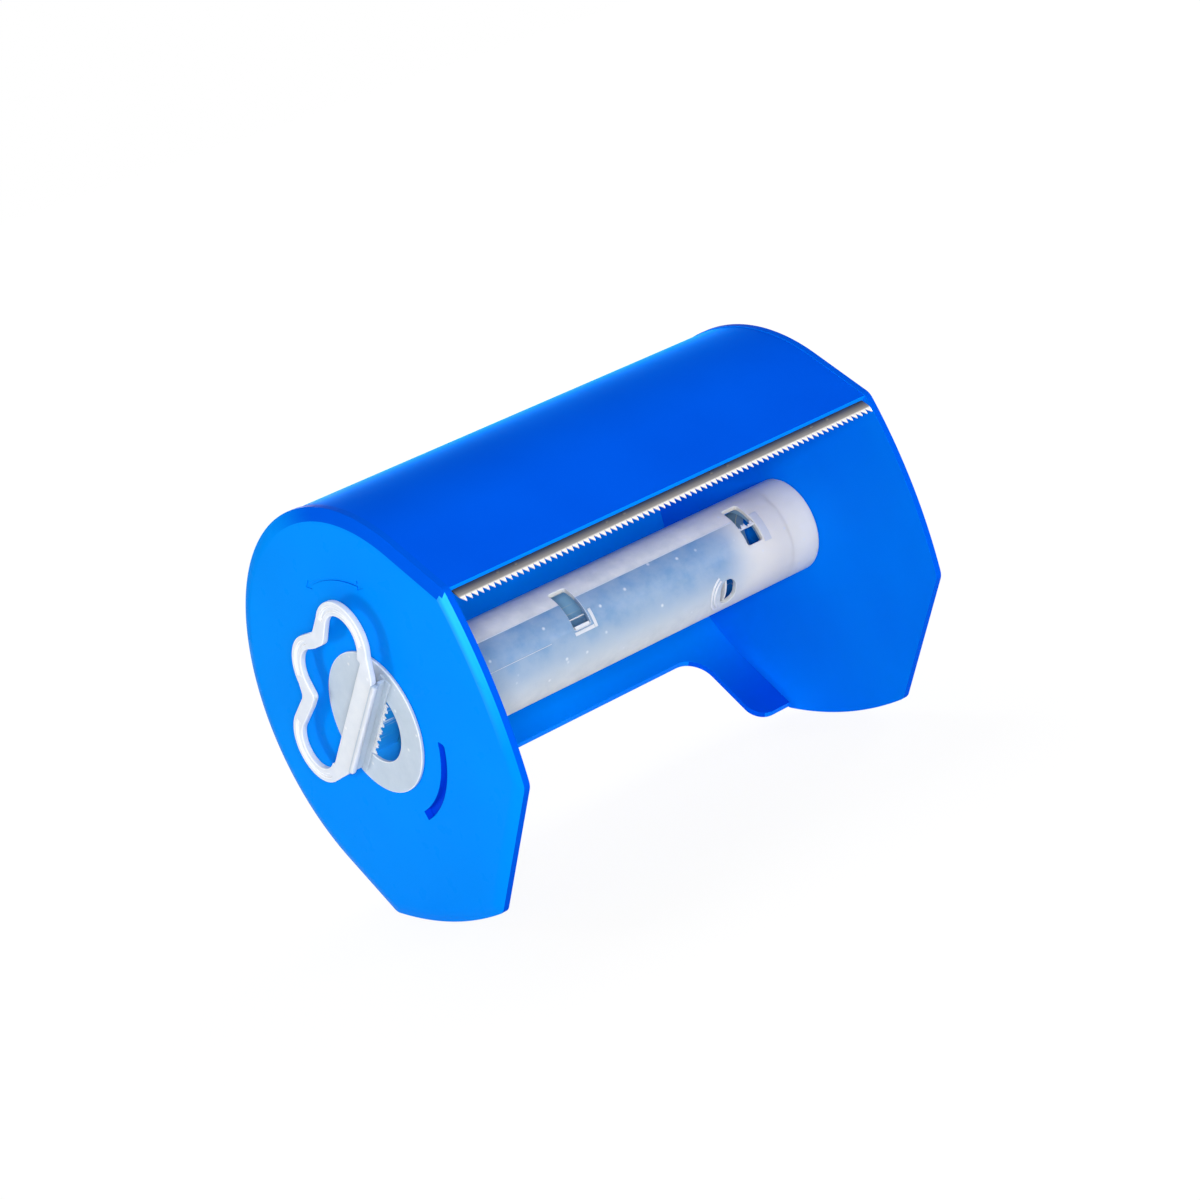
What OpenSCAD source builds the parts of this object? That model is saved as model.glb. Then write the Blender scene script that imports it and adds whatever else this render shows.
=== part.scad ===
// Masking film dispenser: an arched housing with two end plates, a toothed cutter
// and a draw-out spindle that is locked and pulled by a folding ring.
// Millimetres. The spindle lies on the X axis, the locking end at -X.
// The housing leans back on its rear edges, so that its mouth faces -Y.

/* [Housing] */
// Clear width between the two end plates
inner_w = 151.5; // [120:0.5:200]
// Radius of the arched roof
arch_r = 61.7; // [50:0.1:75]
// Height of the arch centre above the spindle axis
arch_rise = 1.4; // [0:0.1:4]
// Outward flare of the straight sides below the arch
side_flare = 4.07; // [0:0.01:12]
// Drop of the lower lips below the spindle axis
side_drop = 17.5; // [14:0.1:24]
// Half length of the flat foot of an end plate
base_half = 24.6; // [15:0.1:35]
// Drop of the flat foot below the spindle axis
base_drop = 58.6; // [50:0.1:70]
// Outward bulge of the slanted plate edges
edge_bulge = 2.8; // [1:0.1:4]
// Thickness of the roof
wall_t = 2.0; // [1.8:0.1:3]
// How far the plates stand proud of the roof all round
roof_step = 0.25; // [0.1:0.05:0.6]
// Straight part of an end plate's edge
rim_t = 2.0; // [1.5:0.1:3]
// Depth of the bevel round an end plate's outer face
bevel_t = 1.0; // [0.6:0.1:2]
// Width of that bevel
bevel_in = 3.0; // [1:0.1:5]
// Angle of the housing's own axis above the horizontal, as it lies
lean = 40.2; // [33:0.1:50]

/* [Rear arch] */
// Height of the finger cut-out above the spindle axis
notch_top = 12.6; // [5:0.1:20]
// Width of the foot left at each end of the cut-out
foot_w = 13.0; // [9:0.1:20]
// Radius of the upper corners of the cut-out
notch_r = 8.0; // [3:0.1:14]
// Radius of the inner corner of each foot
foot_r = 6.0; // [2:0.1:8]

/* [Plate marks] */
// Radius of the curved slot under the spindle
slot_r = 29.3; // [26:0.1:36]
// Width of the curved slot
slot_w = 2.1; // [1.2:0.1:3]
// Angle that the curved slot spans
slot_span = 58; // [20:1:90]
// Depth of the curved slot
slot_deep = 2.0; // [1:0.1:2.4]
// Radius of the engraved turning arrow
arrow_r = 42.0; // [36:0.1:46]
// Middle of the arrow, counted up from the rear
arrow_mid = 142; // [110:1:160]
// Angle that the arrow spans
arrow_span = 34; // [15:1:50]
// Width of the arrow's line
arrow_line = 0.8; // [0.4:0.1:1.5]
// Depth of the engraving
arrow_deep = 0.3; // [0.2:0.05:0.6]

/* [Cutter] */
// Thickness of the steel strip
blade_t = 0.5; // [0.3:0.1:1]
// How far the tooth tips stand below the lip
blade_reach = 5.0; // [2.5:0.1:8]
// How far the strip runs up behind the lip
blade_hide = 8.0; // [6:0.1:12]
// Distance from tooth to tooth
tooth_pitch = 1.92; // [1.5:0.01:4]
// Height of a tooth
tooth_h = 2.1; // [1:0.1:2.4]
// Room between the strip and each end plate
blade_gap = 0.5; // [0.2:0.1:2]
// Radius of a rivet shank
rivet_r = 1.0; // [0.6:0.1:1.5]
// Radius of a rivet head
rivet_head_r = 1.8; // [1.7:0.1:2.4]
// Thickness of a rivet head
rivet_head_t = 0.8; // [0.5:0.1:1.5]
// Depth of a rivet in the roof
rivet_deep = 1.2; // [0.8:0.1:1.5]
// Distance between the two rivets of a pair
rivet_gap = 6.2; // [5:0.1:10]
// Distance from pair to pair
rivet_step = 38; // [20:0.5:42]
// Radius of a pressed dimple under the lip
dimple_r = 0.6; // [0.4:0.1:1]
// Height of a dimple
dimple_t = 0.25; // [0.1:0.05:0.5]
// Drop of the dimples below the lip
dimple_drop = 0.9; // [0.7:0.1:1.1]

/* [Spindle] */
// Outer radius of the tube
tube_r = 14.55; // [13.5:0.05:16]
// Wall of the tube
tube_wall = 1.4; // [1:0.1:1.6]
// How much thicker the tube is, radially, where it turns in the plate's gate
journal_step = 0.3; // [0.2:0.05:0.5]
// Radial room of the tube in the plate's gate
gate_gap = 0.4; // [0.3:0.05:0.8]
// Running clearance of shafts in their bores
fit_gap = 0.05; // [0.02:0.01:0.08]
// Gap between the flange and the plate
face_gap = 0.1; // [0.05:0.05:0.3]
// Width of a tube window along the spindle
window_w = 6.0; // [3:0.1:9]
// Middle of the window near the locking end
window_near = -14.4; // [-40:0.1:0]
// Middle of the window near the far end
window_far = 52.4; // [40:0.1:52.5]
// Start of the windows, counted up from the rear
window_from = 160; // [140:1:175]
// Angle that a window spans
window_span = 62; // [30:1:80]
// Place of the oval eye along the spindle
eye_at = 39.0; // [25:0.1:42]
// Direction of the oval eye
eye_turn = -97; // [-110:1:-80]
// Width of the oval eye along the spindle
eye_w = 6.0; // [3:0.1:8]
// Length of the oval eye round the tube
eye_l = 8.4; // [8.1:0.1:10]
// Outer radius of the locking lugs
lug_r = 17.6; // [17:0.1:18.5]
// Width of a locking lug
lug_w = 6.0; // [4:0.1:8]
// Thickness of a locking lug
lug_t = 2.4; // [1.5:0.1:4]
// Room round a locking lug
lug_gap = 0.4; // [0.3:0.05:0.8]

/* [End bush] */
// Length of the bush's head
bush_head = 10.5; // [6:0.1:12]
// Length of the bush inside the tube
bush_l = 8.0; // [5:0.1:9]
// Bore of the bush
bush_bore = 10.5; // [8:0.1:11.5]
// Gap at each end of the bush's head
bush_gap = 0.3; // [0.2:0.1:1]
// Length of the plate's stub in the bush
stub_l = 8.0; // [5:0.1:10]
// Wall of the stub
stub_wall = 2.0; // [1.5:0.1:3]

/* [Lock cap] */
// Radius of the flange
flange_r = 21.0; // [20:0.1:24]
// Thickness of the flange
flange_t = 1.0; // [0.8:0.1:2]
// Radius of the hole through the cap
cap_bore = 11.8; // [10.5:0.1:11.9]
// Length of the cap inside the tube
hub_l = 12.0; // [11:0.1:20]
// Width of the bar across the hole
web_w = 4.4; // [3:0.1:6]
// Depth of the bar across the hole
web_deep = 9.0; // [5:0.1:10]
// Height of the bar above the flange
web_top = 0.6; // [0.3:0.1:0.8]
// Radius of the hinge bead
bead_r = 1.2; // [1:0.05:1.4]
// Height of the hinge bead above the flange
bead_h = 4.0; // [2.6:0.1:4.5]
// Thickness of the neck under the bead
neck_t = 1.0; // [0.8:0.05:1.2]
// Half length of the hinge bead
bead_half = 19.0; // [14:0.1:20]
// Turn of the cap about the spindle, as it lies
cap_turn = 7; // [-10:0.5:12]

/* [Pull ring] */
// Radius of a side lobe
lobe_r = 11.4; // [10:0.1:13]
// Side lobe centre from the ring's middle
lobe_out = 22.4; // [20:0.1:26]
// Side lobe centre above the hinge
lobe_up = 14.4; // [13:0.1:16]
// Radius of the shoulder between lobes
fill_r = 9.0; // [8:0.1:10]
// Shoulder centre from the ring's middle
fill_out = 15.8; // [14:0.1:17]
// Shoulder centre above the hinge
fill_up = 16.6; // [15.5:0.1:18]
// Radius of the middle lobe
crown_r = 12.0; // [11:0.1:14]
// Middle lobe centre above the hinge
crown_up = 20.2; // [18:0.1:22]
// Width of the ring's band
band_w = 4.4; // [3.5:0.1:6]
// Thickness of the ring
ring_t = 1.8; // [1.4:0.1:3]
// Thickness of the ring on the plate's side of the hinge
ring_low = 0.6; // [0.4:0.1:1.2]
// Half length of the ring's bar
bar_half = 20.0; // [17:0.1:23]
// Width of the ring's bar above the hinge
bar_up = 6.0; // [4:0.1:7]
// Lower edge of the dip between the lobes, inside
dip_up = 20.0; // [18.5:0.1:21]
// Outer radius of the clip on the bead
clip_r = 1.9; // [1.8:0.05:2.2]
// Width of the groove along the band
groove_w = 1.2; // [0.8:0.1:2]
// Depth of the groove
groove_deep = 0.5; // [0.3:0.1:1]

/* [Hidden] */
$fn = 96;
eps = 0.01;
seam = 0.05;
big = 400;

plate_t = rim_t + bevel_t;
half_w = inner_w / 2;
face_x = -half_w - plate_t;
back_x = face_x - face_gap;
flange_x = back_x - flange_t;
hinge_x = flange_x - bead_h;

// Half width at the lip corners, where the flared sides end
side_out = tangent(0, run(0))[0];

// Slanted edge between lip corner and foot: one arc with a given bulge
edge_y = side_out - base_half;
edge_z = base_drop - side_drop;
edge_len = norm([edge_y, edge_z]);
edge_r = (edge_len * edge_len / 4 + edge_bulge * edge_bulge) / (2 * edge_bulge);
edge_cy = (side_out + base_half) / 2 - (edge_r - edge_bulge) * edge_z / edge_len;
edge_cz = -(side_drop + base_drop) / 2 + (edge_r - edge_bulge) * edge_y / edge_len;

// Inner face of the front lip, where the cutter lies
roof_in = roof_step + wall_t;
lip_in = roof_in + seam;
lip_y = tangent(lip_in, run(lip_in))[0];

notch_half = half_w - foot_w;
tooth_n = floor((inner_w - 2 * blade_gap) / tooth_pitch);
blade_half = tooth_n * tooth_pitch / 2;
rivet_up = blade_hide / 2;
rivet_at = [for (p = [-1.5:1:1.5], s = [-0.5, 0.5]) p * rivet_step + s * rivet_gap];

tube_in = tube_r - tube_wall;
bush_x = half_w - bush_gap - bush_head;
tube_end = bush_x - bush_gap;
journal_r = tube_r + journal_step;
gate_r = journal_r + gate_gap;
lug_x = lug_gap - half_w;
stub_r = bush_bore - fit_gap;
neck_half = asin(neck_t / (2 * bead_r)) + 9;

blue = "#0A78F0";
milk = "#D8DEE4";
steel = "#9A9AA0";

// Lays the upright housing frame back onto its rear edges
module lie() {
    rotate([lean - 90, 0, 0]) children();
}

// Stands a flat outline across the spindle and gives it a thickness
module along_x(x0, len) {
    translate([x0, 0, 0])
        rotate([90, 0, 90])
            linear_extrude(height = len) children();
}

// Round bar on the spindle axis
module rod(x0, x1, r) {
    translate([x0, 0, 0])
        rotate([0, 90, 0])
            cylinder(h = x1 - x0, r = r);
}

// Part of a ring about the spindle axis
module ring_part(x0, len, r0, r1, from, span) {
    translate([x0, 0, 0])
        rotate([90, 0, 90])
            rotate([0, 0, from])
                rotate_extrude(angle = span)
                    translate([r0, 0])
                        square([r1 - r0, len]);
}

// Point on a flared side drawn in by i, s below the end of the arch
function tangent(i, s) = [
    (arch_r - i) * cos(side_flare) + s * sin(side_flare),
    arch_rise + (arch_r - i) * sin(side_flare) - s * cos(side_flare)
];

// Length of a flared side drawn in by i, down to the lip
function run(i) = (arch_rise + (arch_r - i) * sin(side_flare) + side_drop) / cos(side_flare);

function flip(p) = [-p[0], p[1]];

// Arch with its two flared sides, drawn in by i
module arch(i) {
    translate([0, arch_rise]) circle(r = arch_r - i);
    polygon([tangent(i, 0), tangent(i, big), flip(tangent(i, big)), flip(tangent(i, 0))]);
}

// Solid arch drawn in by i, longer by over at each end; its sides lie a seam
// inside the tangent, so that they cross the arch cleanly
module arch_solid(i, over) {
    top = tangent(i + seam, 0);
    low = tangent(i + seam, big);
    translate([0, 0, arch_rise]) rod(-half_w - over, half_w + over, arch_r - i);
    along_x(-half_w - over, inner_w + 2 * over) polygon([top, low, flip(low), flip(top)]);
}

// Outline of an end plate, drawn in by i
module outline(i) {
    intersection() {
        arch(i);
        translate([edge_cy, edge_cz]) circle(r = edge_r - i);
        translate([-edge_cy, edge_cz]) circle(r = edge_r - i);
        translate([-big, i - base_drop]) square([2 * big, 2 * big]);
    }
}

// Solid end plate with its outer face towards +X, inner face at x = 0
module plate_blank() {
    hull() {
        along_x(0, rim_t) outline(0);
        along_x(plate_t - eps, eps) outline(bevel_in);
    }
}

// Frame of the front lip: y into the housing, z up along the lip
module at_lip() {
    translate([0, -lip_y, -side_drop])
        rotate([-side_flare, 0, 0]) children();
}

// Round peg square to the front lip
module peg(x, z, y0, y1, r) {
    translate([x, y0, z])
        rotate([-90, 0, 0])
            cylinder(h = y1 - y0, r = r, $fn = 32);
}

module notch_outline() {
    translate([-notch_half, -big])
        square([2 * notch_half, big + notch_top - notch_r]);
    translate([notch_r - notch_half, -big])
        square([2 * (notch_half - notch_r), big + notch_top]);
    for (s = [-1, 1]) {
        translate([s * (notch_half - notch_r), notch_top - notch_r])
            circle(r = notch_r);
        difference() {
            translate([s * (notch_half + foot_r / 2 - eps), foot_r / 2 - side_drop])
                square([foot_r + 2 * eps, 2 * foot_r], center = true);
            translate([s * (notch_half + foot_r), foot_r - side_drop])
                circle(r = foot_r);
            translate([-big, foot_r - side_drop])
                square([2 * big, big]);
            translate([s * (notch_half + foot_r + big / 2), -side_drop])
                square([big, big], center = true);
        }
    }
}

// Arched roof with its front lip and the finger cut-out between the rear feet
module roof() {
    color(blue) lie() difference() {
        intersection() {
            arch_solid(roof_step, 0);
            translate([-big, -big, -side_drop]) cube(2 * big);
        }
        arch_solid(roof_in, 1);
        translate([0, big, 0])
            rotate([90, 0, 0])
                linear_extrude(height = big) notch_outline();
        at_lip() for (x = rivet_at)
            peg(x, rivet_up, -rivet_deep, blade_t, rivet_r + fit_gap);
    }
}

// Engraved turning arrow with a head at each end
module arrow_cut() {
    head_l = 3 * arrow_line;
    ring_part(face_x - eps, arrow_deep + eps, arrow_r - arrow_line / 2,
        arrow_r + arrow_line / 2, arrow_mid - arrow_span / 2, arrow_span);
    for (s = [-1, 1])
        along_x(face_x - eps, arrow_deep + eps)
            rotate(arrow_mid + s * arrow_span / 2)
                translate([arrow_r, 0])
                    polygon([[0, s * head_l], [head_l / 2, -s * eps], [-head_l / 2, -s * eps]]);
}

// Near end plate: gate for the spindle, curved slot and engraved arrow
module left_end_plate() {
    color(blue) lie() difference() {
        translate([-half_w, 0, 0]) mirror([1, 0, 0]) plate_blank();
        rod(face_x - 1, 1 - half_w, gate_r);
        intersection() {
            rod(face_x - 1, 1 - half_w, lug_r + lug_gap);
            translate([face_x - 2, -lug_w / 2 - lug_gap, -big])
                cube([plate_t + 4, lug_w + 2 * lug_gap, 2 * big]);
        }
        ring_part(face_x - 1, slot_deep + 1, slot_r - slot_w / 2, slot_r + slot_w / 2,
            -90 - slot_span / 2, slot_span);
        arrow_cut();
    }
}

// Far end plate with the hollow stub that carries the bush
module right_end_plate() {
    color(blue) lie() {
        translate([half_w, 0, 0]) plate_blank();
        difference() {
            rod(half_w - stub_l, half_w + eps, stub_r);
            rod(half_w - stub_l - 1, half_w, stub_r - stub_wall);
        }
    }
}

// Toothed steel strip on the inside of the front lip
module cutter_blade() {
    color(steel) lie() at_lip() {
        difference() {
            translate([0, blade_t, 0])
                rotate([90, 0, 0])
                    linear_extrude(height = blade_t)
                        polygon(concat(
                            [[-blade_half, tooth_h - blade_reach], [-blade_half, blade_hide],
                                [blade_half, blade_hide]],
                            [for (i = [0:tooth_n - 1], k = [0, 0.5])
                                [blade_half - (i + k) * tooth_pitch,
                                    (k == 0 ? tooth_h : 0) - blade_reach]]));
            for (x = rivet_at)
                peg(x, rivet_up, -1, blade_t + 1, rivet_r + fit_gap);
        }
        for (x = rivet_at)
            peg(x, -dimple_drop, -dimple_t, blade_t / 2, dimple_r);
    }
}

// Pairs of small rivets that hold the strip to the lip
module blade_rivets() {
    color(blue) lie() at_lip() for (x = rivet_at) {
        peg(x, rivet_up, -rivet_deep, blade_t + eps, rivet_r);
        peg(x, rivet_up, blade_t, blade_t + rivet_head_t, rivet_head_r);
    }
}

// Bush at the far end: runs in the tube and slips over the plate's stub
module end_bush() {
    color(milk) lie() difference() {
        union() {
            rod(bush_x, bush_x + bush_head, tube_r);
            rod(tube_end - bush_l, bush_x + eps, tube_in - fit_gap);
        }
        rod(tube_end - bush_l - 1, bush_x + bush_head + 1, bush_bore);
    }
}

// Tube that carries the roll, with its windows, eye and locking lugs
module spindle_tube() {
    color(milk) lie() {
        difference() {
            union() {
                rod(back_x, tube_end, tube_r);
                rod(back_x, lug_x + lug_t, journal_r);
            }
            rod(back_x - 1, tube_end + 1, tube_in);
            for (x = [window_near, window_far])
                ring_part(x - window_w / 2, window_w, tube_in - 1, tube_r + 1,
                    window_from, window_span);
            translate([eye_at, 0, 0])
                rotate([eye_turn - 90, 0, 0])
                    translate([0, 0, tube_in / 2])
                        linear_extrude(height = tube_r) {
                            square([eye_w, eye_l - eye_w], center = true);
                            for (s = [-1, 1])
                                translate([0, s * (eye_l - eye_w) / 2]) circle(d = eye_w);
                        }
        }
        intersection() {
            difference() {
                rod(lug_x, lug_x + lug_t, lug_r);
                rod(-half_w, half_w, tube_r - tube_wall / 2);
            }
            translate([-half_w, -lug_w / 2, -big])
                cube([half_w, lug_w, 2 * big]);
        }
    }
}

// Cap in the near end of the tube: flange with a half-round hole, hub, cross bar
// and hinge bead
module lock_cap() {
    color(milk) lie() rotate([cap_turn, 0, 0]) {
        difference() {
            union() {
                rod(flange_x, back_x, flange_r);
                rod(back_x - eps, back_x + hub_l, tube_in - fit_gap);
            }
            rod(back_x, back_x + hub_l + 1, cap_bore);
            intersection() {
                rod(flange_x - 1, back_x + 1, cap_bore);
                translate([flange_x - 2, -big, -big])
                    cube([flange_t + 4, 2 * big, big]);
            }
        }
        intersection() {
            rod(flange_x, flange_x + web_deep, (cap_bore + tube_in - fit_gap) / 2);
            translate([flange_x - 1, -big, -web_w / 2])
                cube([web_deep + 2, 2 * big, web_w]);
        }
        translate([flange_x - web_top, -bead_half, -web_w / 2])
            cube([web_top + flange_t / 2, 2 * bead_half, web_w]);
        translate([hinge_x, -bead_half, -neck_t / 2])
            cube([bead_h, 2 * bead_half, neck_t]);
        translate([hinge_x, -bead_half, 0])
            rotate([-90, 0, 0])
                cylinder(h = 2 * bead_half, r = bead_r);
    }
}

// Union of the lobes, each radius less i
module lobes(i) {
    for (s = [-1, 1]) {
        translate([s * lobe_out, lobe_up]) circle(r = lobe_r - i);
        translate([s * fill_out, fill_up]) circle(r = fill_r - i);
    }
    translate([0, crown_up]) circle(r = crown_r - i);
}

// Opening inside the band, wider by i
module lobe_hole(i) {
    lobes(band_w - i);
    translate([-lobe_out, 0]) square([2 * lobe_out, dip_up + i]);
}

// Everything above a given height over the hinge
module above(h) {
    translate([-big, h]) square([2 * big, 2 * big]);
}

// Flat outline of the ring: the bar runs out into the side lobes
module band() {
    heel = [lobe_out + (lobe_r - 0.2) * cos(70), lobe_up - (lobe_r - 0.2) * sin(70)];
    difference() {
        union() {
            lobes(0);
            polygon([[-bar_half, 0], [bar_half, 0], [heel[0], heel[1]], [lobe_out, lobe_up],
                [-lobe_out, lobe_up], [-heel[0], heel[1]]]);
        }
        intersection() {
            lobe_hole(0);
            above(bar_up);
        }
    }
}

// Flat outline of the groove along the middle of the lobes
module groove() {
    inset = (band_w - groove_w) / 2;
    intersection() {
        difference() {
            lobes(inset);
            lobe_hole(inset);
        }
        above(bar_up);
    }
}

// Three-lobed ring with a grooved band, clipped on the hinge bead
module pull_ring() {
    ring_x = hinge_x + ring_low - ring_t;
    color(milk) lie() rotate([cap_turn, 0, 0]) difference() {
        union() {
            along_x(ring_x, ring_t) band();
            translate([hinge_x - clip_r, -bead_half, 0])
                cube([clip_r + ring_low, 2 * bead_half, bar_up]);
            translate([hinge_x, -bead_half, 0])
                rotate([-90, 0, 0])
                    cylinder(h = 2 * bead_half, r = clip_r);
        }
        along_x(ring_x - 1, groove_deep + 1) groove();
        translate([hinge_x, -bead_half - 1, 0])
            rotate([-90, 0, 0])
                cylinder(h = 2 * bead_half + 2, r = bead_r + fit_gap);
        translate([hinge_x, 0, 0])
            rotate([0, -90, 0])
                rotate([90, 0, 0])
                    linear_extrude(height = 2 * bar_half, center = true)
                        polygon(concat([[0, 0]],
                            [for (k = [0:4])
                                let (a = 180 - neck_half + k * (90 + 2 * neck_half) / 4)
                                3 * clip_r * [cos(a), sin(a)]]));
    }
}

roof();
left_end_plate();
right_end_plate();
cutter_blade();
blade_rivets();
end_bush();
spindle_tube();
lock_cap();
pull_ring();
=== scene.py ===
import math

import bmesh
import bpy
from mathutils import Matrix, Vector


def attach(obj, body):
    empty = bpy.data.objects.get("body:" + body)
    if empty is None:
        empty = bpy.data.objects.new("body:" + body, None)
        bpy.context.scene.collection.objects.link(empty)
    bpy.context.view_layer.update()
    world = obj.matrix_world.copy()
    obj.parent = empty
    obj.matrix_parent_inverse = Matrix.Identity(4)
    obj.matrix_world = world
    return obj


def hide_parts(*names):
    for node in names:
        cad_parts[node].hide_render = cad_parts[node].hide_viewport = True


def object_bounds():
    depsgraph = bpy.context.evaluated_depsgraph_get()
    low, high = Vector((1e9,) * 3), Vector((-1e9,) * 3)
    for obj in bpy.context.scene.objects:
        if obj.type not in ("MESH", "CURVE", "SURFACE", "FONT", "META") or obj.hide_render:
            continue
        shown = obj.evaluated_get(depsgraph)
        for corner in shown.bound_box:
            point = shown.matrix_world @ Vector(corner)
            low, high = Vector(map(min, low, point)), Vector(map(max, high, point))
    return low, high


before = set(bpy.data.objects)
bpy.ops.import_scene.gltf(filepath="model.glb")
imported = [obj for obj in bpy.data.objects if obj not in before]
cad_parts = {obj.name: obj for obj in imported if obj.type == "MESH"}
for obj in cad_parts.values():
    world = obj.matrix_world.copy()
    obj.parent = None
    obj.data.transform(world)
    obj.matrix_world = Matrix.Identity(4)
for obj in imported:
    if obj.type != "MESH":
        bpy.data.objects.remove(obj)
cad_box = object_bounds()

# Roof: the arched wall of the housing, with a straight front lip that carries the
# cutter and a finger cut-out between two rear feet. Blue polypropylene, injection
# moulded about 2 mm thick; its ends butt on the two end plates.
MM = 0.001
LEAN = math.radians(40.2)
HOUSING = Matrix.Rotation(LEAN - math.pi / 2, 4, "X") @ Matrix.Scale(MM, 4)
INNER_W = 151.5
ARCH_RISE = 1.4
FLARE = 4.07
LIP_DROP = 17.5
ROOF_OUT = 61.45
ROOF_IN = 59.45
ROOF_STEPS = 96
FOOT_W = 13.0
FOOT_R = 6.0
NOTCH_TOP = 12.6
NOTCH_HALF = INNER_W / 2 - FOOT_W
NOTCH_R = 8.0
NOTCH_BELOW = 20.0
NOTCH_FROM = 45.0
NOTCH_THROUGH = 40.0
CRUMB = 0.06
WELD = 0.003


def to(bm, vert, *point):
    """Draws a straight edge from vert to a new point across the spindle, in mm."""
    new = bm.verts.new((vert.co.x, *point))
    bm.edges.new((vert, new))
    return new


def arc(bm, vert, centre, degrees, steps):
    """Turns vert about an axis along X and returns the last vertex of the arc."""
    out = bmesh.ops.spin(bm, geom=[vert], cent=(vert.co.x, *centre), axis=(1, 0, 0),
                         angle=math.radians(degrees), steps=steps, use_duplicate=False)
    return [g for g in out["geom_last"] if isinstance(g, bmesh.types.BMVert)][0]


def close(bm, last, first):
    """Joins the ends of a chain of edges and fills it with one face."""
    bm.edges.new((last, first))
    return bmesh.ops.contextual_create(bm, geom=bm.edges[:])["faces"][0]


def pull(bm, faces, way):
    """Pulls flat faces out by a way in mm, so that a closed solid is left."""
    new = bmesh.ops.extrude_face_region(bm, geom=faces, use_keep_orig=True)["geom"]
    bmesh.ops.translate(bm, vec=way, verts=[g for g in new if isinstance(g, bmesh.types.BMVert)])
    bmesh.ops.recalc_face_normals(bm, faces=bm.faces[:])


def mesh_piece(name, bm, matrix=HOUSING):
    """Lays a shape out in the row frame, in metres, as an object at the origin."""
    bmesh.ops.transform(bm, matrix=matrix, verts=bm.verts[:])
    bmesh.ops.recalc_face_normals(bm, faces=bm.faces[:])
    mesh = bpy.data.meshes.new(name)
    bm.to_mesh(mesh)
    bm.free()
    obj = bpy.data.objects.new(name, mesh)
    bpy.context.scene.collection.objects.link(obj)
    return obj


def cut(obj, *cutters):
    """Cuts shapes out of a piece, throws the cutters away and merges the crumbs along the cut."""
    for cutter in cutters:
        tool = obj.modifiers.new("cut", "BOOLEAN")
        tool.operation, tool.solver, tool.object = "DIFFERENCE", "EXACT", cutter
    mesh = bpy.data.meshes.new_from_object(obj.evaluated_get(bpy.context.evaluated_depsgraph_get()))
    obj.modifiers.clear()
    clean = bmesh.new()
    clean.from_mesh(mesh)
    bmesh.ops.remove_doubles(clean, verts=clean.verts[:], dist=CRUMB * MM)
    bmesh.ops.dissolve_degenerate(clean, dist=CRUMB * MM, edges=clean.edges[:])
    clean.to_mesh(mesh)
    clean.free()
    old, obj.data = obj.data, mesh
    bpy.data.meshes.remove(old)
    for cutter in cutters:
        bpy.data.meshes.remove(cutter.data)


def round_off(obj, width, angle, segments=3, edge=-1):
    """Breaks the edges sharper than angle, as a mould does, and smooths the faces.
    edge gives the new faces a material slot of their own."""
    bevel = obj.modifiers.new("edges", "BEVEL")
    bevel.width, bevel.segments, bevel.limit_method = width * MM, segments, "ANGLE"
    bevel.angle_limit, bevel.profile = math.radians(angle), 0.5
    bevel.use_clamp_overlap = True
    bevel.material = edge
    weld = obj.modifiers.new("weld", "WELD")
    weld.merge_threshold = WELD * MM
    obj.data.shade_smooth()
    normals = obj.modifiers.new("normals", "WEIGHTED_NORMAL")
    normals.keep_sharp = True


def srgb(code):
    """Turns an sRGB hex colour into the linear colour that a shader takes."""
    parts = [int(code[i:i + 2], 16) / 255 for i in (1, 3, 5)]
    return [c / 12.92 if c <= 0.04045 else ((c + 0.055) / 1.055) ** 2.4 for c in parts] + [1.0]


def add(tree, kind, values=None, links=None, **settings):
    """Adds one node with its settings, its values and the sockets that feed it."""
    node = tree.nodes.new("ShaderNode" + kind)
    for key, value in settings.items():
        setattr(node, key, value)
    for key, value in (values or {}).items():
        node.inputs[key].default_value = value
    for key, source in (links or {}).items():
        tree.links.new(source, node.inputs[key])
    return node


def new_material(name):
    """A bare material: its node tree, its shader and its place on the piece in metres."""
    mat = bpy.data.materials.new(name)
    mat.use_nodes = True
    tree = mat.node_tree
    tree.nodes.clear()
    shader = add(tree, "BsdfPrincipled")
    add(tree, "OutputMaterial", links={"Surface": shader.outputs["BSDF"]})
    place = add(tree, "TexCoord").outputs["Object"]
    return mat, tree, shader, place


def noise(tree, place, size, detail, roughness=0.5):
    """Noise in patches of about a size in mm."""
    values = {"Scale": 1 / (size * MM), "Detail": detail, "Roughness": roughness}
    return add(tree, "TexNoise", values, {"Vector": place}).outputs["Fac"]


def along(tree, place, direction):
    """How far a place, or how much of a normal, lies along a direction."""
    return add(tree, "VectorMath", {1: direction}, {0: place}, operation="DOT_PRODUCT").outputs["Value"]


def spread(tree, value, low, high, start=0.0, end=1.0, smooth=False):
    """Takes a value between low and high to one between start and end."""
    values = {"From Min": low, "From Max": high, "To Min": start, "To Max": end}
    kind = "SMOOTHSTEP" if smooth else "LINEAR"
    return add(tree, "MapRange", values, {"Value": value}, interpolation_type=kind).outputs["Result"]


def blend(tree, part, first, second):
    """Goes from the first colour to the second, each a hex colour or a socket."""
    node = add(tree, "Mix", links={"Factor": part}, data_type="RGBA")
    for key, colour in (("A", first), ("B", second)):
        if isinstance(colour, str):
            node.inputs[key].default_value = srgb(colour)
        else:
            tree.links.new(colour, node.inputs[key])
    return node.outputs[2]


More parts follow.
